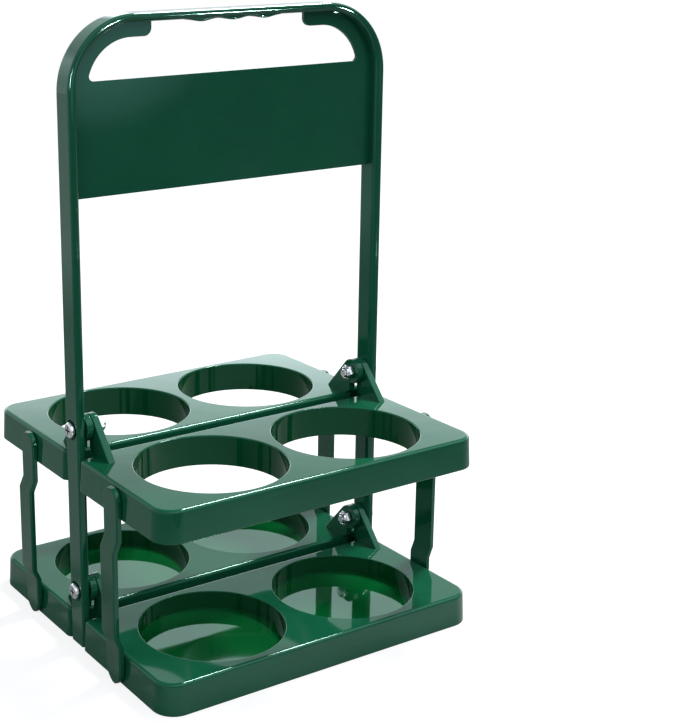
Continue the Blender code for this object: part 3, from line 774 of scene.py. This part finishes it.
def stud_body(pivot_z):
    """A stud through the tray's end wall, with a head that holds it from inside."""
    head_face = TRAY_END_X - TRAY_WALL - FIT_GAP - LINK_INNER_X
    profile = [
        (head_face - STUD_HEAD_THICKNESS, STUD_RADIUS),
        (head_face - STUD_HEAD_THICKNESS / 2, STUD_HEAD_RADIUS),
        (head_face, STUD_HEAD_RADIUS),
        (head_face, STUD_RADIUS),
        (JOIN_DEPTH, STUD_RADIUS),
    ]
    return turned(profile, (0, pivot_z), "X", STUD_SEGMENTS)


def build_links():
    studs = [("UNION", stud_body(0)), ("UNION", stud_body(-LEVEL_SPACING))]
    mesh = smooth(combined(link_bar_body(), studs, "link"))
    pivot_z = UPPER_BOLT_Z + LINK_PIVOT
    for end, side in (("left", -1), ("right", 1)):
        for face, depth in (("front", -LINK_DEPTH), ("rear", LINK_DEPTH)):
            location = (side * LINK_INNER_X, depth, pivot_z)
            name = end + "_" + face
            place(name + "_link", mesh, location, LINK_LOOK, name + "_bar", half_turn=side < 0)


# Bolts and nuts

def bolt_mesh():
    """A cross-head bolt along +X, its head sunk in the leg's outer face. Its cross slot gets a near-black
    zinc as painted shade.
    """
    seat = LEG_OUTER_X - COUNTERBORE_DEPTH + FIT_GAP
    crown = seat + BOLT_HEAD_HEIGHT
    profile = [
        (NUT_END_X - BOLT_TAIL, BOLT_RADIUS - BOLT_TIP_CHAMFER),
        (NUT_END_X - BOLT_TAIL + BOLT_TIP_CHAMFER, BOLT_RADIUS),
        (seat, BOLT_RADIUS),
        (seat, BOLT_HEAD_RADIUS),
        (crown - BOLT_HEAD_ROUNDING, BOLT_HEAD_RADIUS),
    ]
    for inset, drop in edge_steps(BOLT_HEAD_ROUNDING)[1:]:
        profile.append((crown - drop, BOLT_HEAD_RADIUS - inset))
    slots = []
    for length, width in ((CROSS_SLOT_LENGTH, CROSS_SLOT_WIDTH), (CROSS_SLOT_WIDTH, CROSS_SLOT_LENGTH)):
        y, z = length / 2, width / 2
        outline = [(-y, -z), (y, -z), (y, z), (-y, z)]
        slot = prism(outline, crown - CROSS_SLOT_DEPTH, crown + CUT_OVERRUN, "X")
        slots.append(("DIFFERENCE", slot))
    mesh = smooth(combined(turned(profile, (0, 0), "X", HOLE_SEGMENTS), slots, "bolt"))
    mesh.materials.append(ZINC_LOOK)
    mesh.materials.append(SLOT_PAINTED_SHADE_LOOK)
    # Faces inside the cross slot take the painted shade.
    for face in mesh.polygons:
        x, y, z = face.center
        across, along = sorted((abs(y), abs(z)))
        in_width = across < CROSS_SLOT_WIDTH / 2 + FACE_MARGIN
        in_length = along < CROSS_SLOT_LENGTH / 2 + FACE_MARGIN
        sunk = seat < x < crown - FACE_MARGIN
        face.material_index = int(in_width and in_length and sunk)
    return mesh


def hexagon(inset=0.0):
    radius = NUT_ACROSS_FLATS / 2 / cos(pi / HEX_SIDES) - inset
    return arc((0, 0), radius, 0, 2 * pi, HEX_SIDES)[:-1]


def nut_mesh():
    """A hexagon nut with a round locking collar, threaded on the bolt against the ear."""
    collar_x = NUT_FACE_X - NUT_HEIGHT
    stations = [
        (NUT_FACE_X, NUT_CHAMFER),
        (NUT_FACE_X - NUT_CHAMFER, 0),
        (collar_x + NUT_CHAMFER, 0),
        (collar_x, NUT_CHAMFER),
    ]
    body = loft([[(x, y, z) for y, z in hexagon(inset)] for x, inset in stations])
    collar = [
        (NUT_END_X, NUT_COLLAR_RADIUS - NUT_CHAMFER),
        (NUT_END_X + NUT_CHAMFER, NUT_COLLAR_RADIUS),
        (collar_x + JOIN_DEPTH, NUT_COLLAR_RADIUS),
    ]
    mouth = BORE_AROUND_BOLT + NUT_MOUTH_CHAMFER
    bore = [
        (NUT_END_X - CUT_OVERRUN, mouth),
        (NUT_END_X, mouth),
        (NUT_END_X + NUT_MOUTH_CHAMFER, BORE_AROUND_BOLT),
        (NUT_FACE_X + CUT_OVERRUN, BORE_AROUND_BOLT),
    ]
    steps = [
        ("UNION", turned(collar, (0, 0), "X", HOLE_SEGMENTS)),
        ("DIFFERENCE", turned(bore, (0, 0), "X", HOLE_SEGMENTS)),
    ]
    return smooth(combined(body, steps, "nut"))


def build_fasteners():
    bolt = bolt_mesh()
    nut = nut_mesh()
    for level, bolt_z in (("upper", UPPER_BOLT_Z), ("lower", LOWER_BOLT_Z)):
        for end in ("left", "right"):
            for kind, mesh in (("bolt", bolt), ("nut", nut)):
                name = level + "_" + end + "_" + kind
                place(name, mesh, (0, 0, bolt_z), ZINC_LOOK, "frame", half_turn=end == "left")


# Light, floor and camera. Azimuths are in degrees from +Y, clockwise seen from above.

# The studio around the object: a bright backdrop behind it, plain sides, and a front that is dark
# low down and bright above. A profile holds (height, strength), from straight down at -1 to straight
# up at 1. A fade holds the cosines of the angles off a side's azimuth where it begins and is complete.
BACKDROP_AZIMUTH = 35
BACKDROP_FADE = (0.35, 0.85)
BACKDROP_PROFILE = (
    (-1, 1.0), (0, 1.0), (0.07, 1.0), (0.14, 2.6), (0.285, 3.4), (0.31, 2.5), (0.335, 1.6), (0.37, 0.95),
    (0.39, 0.80), (0.41, 0.98), (0.43, 1.0), (0.45, 1.0), (0.505, 1.05), (0.53, 0.3), (1, 0.3),
)
SIDE_PROFILE = ((-1, 1.0), (0, 1.0), (0.3, 1.1), (0.6, 0.7), (1, 0.4))
FRONT_AZIMUTH = 155
FRONT_FADE = (0.0, 0.6)
FRONT_PROFILE = (
    (-1, 0.22), (0, 0.22), (0.25, 0.35), (0.45, 1.0), (0.55, 2.3), (0.85, 2.3), (0.95, 0.5), (1, 0.4),
)
STUDIO_TINT = (0.94, 1.0, 1.07, 1)

# A small low glow in front, between an outer and an inner radius in degrees
GLOW_AZIMUTH = 152
GLOW_ELEVATION = -3.5
GLOW_OUTER_RADIUS = 5
GLOW_INNER_RADIUS = 3.2
GLOW_COLOUR = (1.8, 1.9, 2.0, 1)

# Lamps: name, point aimed at, azimuth, elevation, distance, width, height, radiance, opening angle,
# and whether the lamp lights the colours too, or only shows in reflections
LAMPS = (
    ("overhead", (0, 0, 0.15), 76, 59, 1.4, 0.28, 0.28, 112.0, 180, True),
    ("edge_strip", (-0.078, -0.007, 0.42), 145.4, -15.0, 4.0, 0.50, 0.14, 2300.0, 4.0, False),
    ("catch_strip", (-0.187, 0.032, 0.32), 198, 5, 0.905, 0.075, 0.25, 1000.0, 20, False),
)

# The floor, and the painted light it shows to glossy rays alone: a painted pool of light that fades with
# the distance from its centre and is weak under the object and strong in front of it, and a painted pale
# glow far off
FLOOR_LOW = (-1.6, -0.42)
FLOOR_HIGH = (2.2, 2.6)
FLOOR_TONES = (0.22, 0.24)
FLOOR_TONE_SCALE = 3.0
FLOOR_ROUGHNESS = 0.9
FLOOR_GLOW = 0.80
POOL_CENTRE = (0, -0.10, 0)
POOL_FADE = (0.16, 0.42)
POOL_STEP_Y = (-0.085, -0.115)
POOL_STRENGTHS = (0.08, 0.95)
FAR_FLOOR_FADE = (0.80, 1.10)
FAR_FLOOR_STRENGTH = 0.42

# The photograph's camera, fitted to its edges, in metres, radians and pixels of the photograph
CAMERA_AT = (-0.4457, -0.6792, 0.4049)
CAMERA_YAW = -0.5370
CAMERA_PITCH = -0.2513
CAMERA_ROLL = -0.0120
CAMERA_FOCAL_PIXELS = 1473.1
CAMERA_CENTRE_PIXELS = (166.87, 283.41)
IMAGE_WIDTH = 679
IMAGE_HEIGHT = 722


def direction(azimuth, elevation=0.0):
    """The unit vector to an azimuth and elevation in degrees."""
    turn = radians(azimuth)
    rise = radians(elevation)
    return Vector((sin(turn) * cos(rise), cos(turn) * cos(rise), sin(rise)))


def ramp(nodes, share, profile):
    """The strength of a profile, where share is 0 straight down and 1 straight up."""
    top = max(strength for _, strength in profile)
    made = nodes.add("ShaderNodeValToRGB", None, {"Fac": share})
    points = made.color_ramp.elements
    while len(points) < len(profile):
        points.new(0.5)
    for point, (height, strength) in zip(points, profile):
        point.position = (height + 1) / 2
        point.color = (strength / top, strength / top, strength / top, 1)
    return nodes.math("MULTIPLY", made.outputs["Color"], top)


def facing(nodes, level, azimuth, fade):
    """How far a level way points to an azimuth, from 0 to 1."""
    towards = nodes.vector_math("DOT_PRODUCT", level, direction(azimuth), "Value")
    return nodes.spread(towards, *fade, 0.0, 1.0, "SMOOTHSTEP")


def build_world():
    """The studio. Camera and transmission rays see plain white in its place."""
    world = bpy.data.worlds.new("studio")
    bpy.context.scene.world = world
    world.use_nodes = True
    nodes = Nodes(world.node_tree)
    way = nodes.add("ShaderNodeTexCoord").outputs["Generated"]
    level = nodes.vector_math("NORMALIZE", nodes.vector_math("MULTIPLY", way, (1, 1, 0)))
    height = nodes.add("ShaderNodeSeparateXYZ", None, {"Vector": way}).outputs["Z"]
    share = nodes.math("ADD", nodes.math("MULTIPLY", height, 0.5), 0.5)
    front = ramp(nodes, share, FRONT_PROFILE)
    backdrop = ramp(nodes, share, BACKDROP_PROFILE)
    light = ramp(nodes, share, SIDE_PROFILE)
    light = nodes.mix(facing(nodes, level, FRONT_AZIMUTH, FRONT_FADE), light, front)
    light = nodes.mix(facing(nodes, level, BACKDROP_AZIMUTH, BACKDROP_FADE), light, backdrop)
    towards = nodes.vector_math("DOT_PRODUCT", way, direction(GLOW_AZIMUTH, GLOW_ELEVATION), "Value")
    outer = cos(radians(GLOW_OUTER_RADIUS))
    inner = cos(radians(GLOW_INNER_RADIUS))
    light = nodes.mix(nodes.spread(towards, outer, inner, 0.0, 1.0), light, GLOW_COLOUR)
    light = nodes.mix(1.0, light, STUDIO_TINT, "MULTIPLY")
    light = nodes.mix(nodes.seen_rays(), light, WHITE)
    nodes.feed(world.node_tree.nodes["Background"], {"Color": light})


def build_lamps():
    """A softbox overhead and two narrow strips that draw the bright lines on the hoop's rounded edges."""
    for name, aim, azimuth, elevation, away, width, height, radiance, opening, colours in LAMPS:
        light = bpy.data.lights.new(name, "AREA")
        light.shape = "RECTANGLE"
        light.size = width
        light.size_y = height
        light.spread = radians(opening)
        half = radians(opening) / 2
        light.energy = radiance * pi * width * height * (1 - half / tan(half))
        lamp = bpy.data.objects.new(name, light)
        bpy.context.scene.collection.objects.link(lamp)
        way = direction(azimuth, elevation)
        lamp.location = way * away + Vector(aim)
        lamp.rotation_euler = way.to_track_quat("Z", "Y").to_euler()
        lamp.visible_camera = False
        lamp.visible_diffuse = colours


def floor_glow(nodes, where):
    """What lifts the floor to white for the eye, and the painted pool of light and painted pale far glow
    that only reflections see.
    """
    away = nodes.vector_math("DISTANCE", where, POOL_CENTRE, "Value")
    depth = nodes.add("ShaderNodeSeparateXYZ", None, {"Vector": where}).outputs["Y"]
    fading = nodes.spread(away, *POOL_FADE, 1.0, 0.0)
    pool = nodes.math("MULTIPLY", fading, nodes.spread(depth, *POOL_STEP_Y, *POOL_STRENGTHS))
    # Painted light: this glow is emitted for glossy rays only, so it shows in reflections and lights
    # nothing.
    pale = nodes.math("ADD", pool, nodes.spread(away, *FAR_FLOOR_FADE, 0.0, FAR_FLOOR_STRENGTH))
    glossy = nodes.add("ShaderNodeLightPath").outputs["Is Glossy Ray"]
    seen = nodes.math("MULTIPLY", nodes.seen_rays(), FLOOR_GLOW)
    return nodes.math("ADD", seen, nodes.math("MULTIPLY", glossy, pale))


def build_floor():
    """A floor that is all but white and keeps the object's shadow."""
    (left, near), (right, far) = FLOOR_LOW, FLOOR_HIGH
    mesh = bpy.data.meshes.new("floor")
    corners = [(left, near, 0), (right, near, 0), (right, far, 0), (left, far, 0)]
    mesh.from_pydata(corners, [], [(0, 1, 2, 3)])
    floor = bpy.data.objects.new("floor", mesh)
    bpy.context.scene.collection.objects.link(floor)
    made, nodes, shader = new_look("white_floor")
    where = nodes.add("ShaderNodeTexCoord").outputs["Object"]
    dark, pale = [(tone, tone, tone, 1) for tone in FLOOR_TONES]
    nodes.feed(shader, {
        "Base Color": nodes.mix(nodes.noise(where, FLOOR_TONE_SCALE, detail=2.0), dark, pale),
        "Roughness": FLOOR_ROUGHNESS,
        "Specular IOR Level": 0.0,
        "Emission Color": WHITE,
        "Emission Strength": floor_glow(nodes, where),
    })
    mesh.materials.append(made)


def build_camera():
    """A camera that sees the object as the photograph does. Its centre is off the image's middle."""
    data = bpy.data.cameras.new("camera")
    camera = bpy.data.objects.new("camera", data)
    bpy.context.scene.collection.objects.link(camera)
    level_share = cos(CAMERA_PITCH)
    ahead = Vector((-sin(CAMERA_YAW) * level_share, cos(CAMERA_YAW) * level_share, sin(CAMERA_PITCH)))
    right = Vector((cos(CAMERA_YAW), sin(CAMERA_YAW), 0))
    up = right.cross(ahead)
    rolled_right = right * cos(CAMERA_ROLL) + up * sin(CAMERA_ROLL)
    rolled_up = up * cos(CAMERA_ROLL) - right * sin(CAMERA_ROLL)
    turn = Matrix((rolled_right, rolled_up, -ahead)).transposed()
    camera.matrix_world = Matrix.Translation(CAMERA_AT) @ turn.to_4x4()
    data.lens = CAMERA_FOCAL_PIXELS / IMAGE_HEIGHT * data.sensor_width
    data.shift_x = (IMAGE_WIDTH / 2 - CAMERA_CENTRE_PIXELS[0]) / IMAGE_HEIGHT
    data.shift_y = (CAMERA_CENTRE_PIXELS[1] - IMAGE_HEIGHT / 2) / IMAGE_HEIGHT
    bpy.context.scene.camera = camera


build_frame()
build_trays()
build_links()
build_fasteners()
build_world()
build_lamps()
build_floor()
build_camera()
bpy.context.scene.view_settings.view_transform = "Standard"
bpy.context.view_layer.update()
